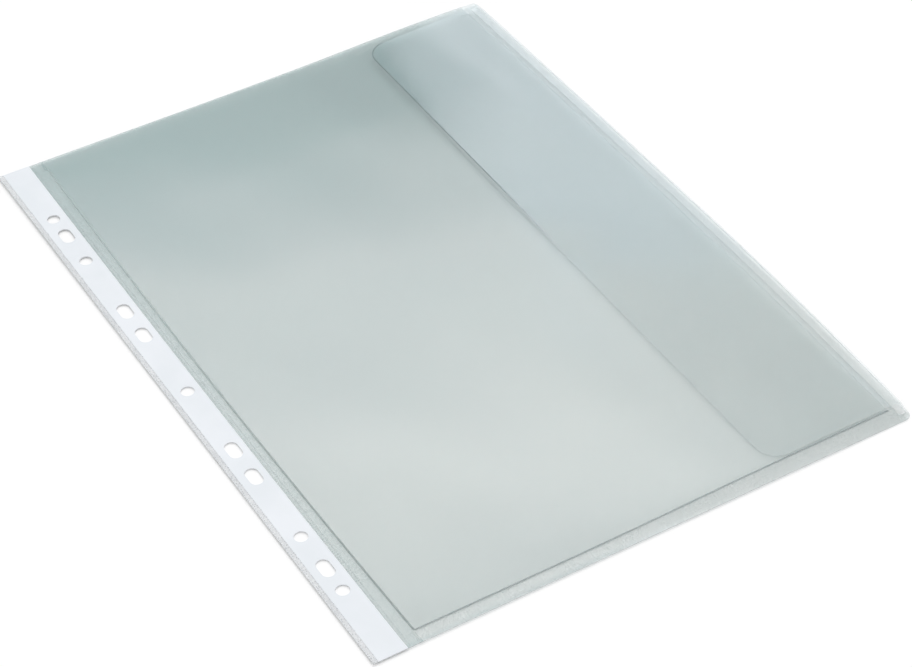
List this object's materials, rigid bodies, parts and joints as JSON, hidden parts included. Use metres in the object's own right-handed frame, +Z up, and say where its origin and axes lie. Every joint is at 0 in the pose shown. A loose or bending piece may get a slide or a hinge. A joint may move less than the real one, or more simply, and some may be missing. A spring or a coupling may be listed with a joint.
{
  "type": "flap document pocket",
  "caption": "Clear plastic document pocket with a white punched binding strip along one long side and a fold-over flap along the other.",
  "frame": {"origin": "under the middle of the closed pocket, on the surface it lies on", "axes": "+Y along the long sides towards the top edge, +X across towards the flap's fold, +Z up out of the front"},
  "size_m": [0.231, 0.312, 0.0026],
  "materials": {
    "clear_film": "glossy clear film with a grey-green tint",
    "fused_film": "two clear films fused and knurled, half matt",
    "white_film": "opaque white film, satin"
  },
  "bodies": {
    "pocket": {"back_film": "clear_film", "front_film": "clear_film", "flap_fold": "clear_film", "edge_weld": "fused_film", "spine_weld": "fused_film", "top_weld": "fused_film", "bottom_weld": "fused_film", "binding_strip": "white_film"},
    "flap": {"flap": "clear_film"}
  },
  "joints": [
    {"name": "flap_fold_hinge", "type": "hinge", "parent": "pocket", "child": "flap", "pos_m": [0.1145, 0, 0.0013], "axis": [0, 1, 0], "range_deg": [0, 179]}
  ]
}
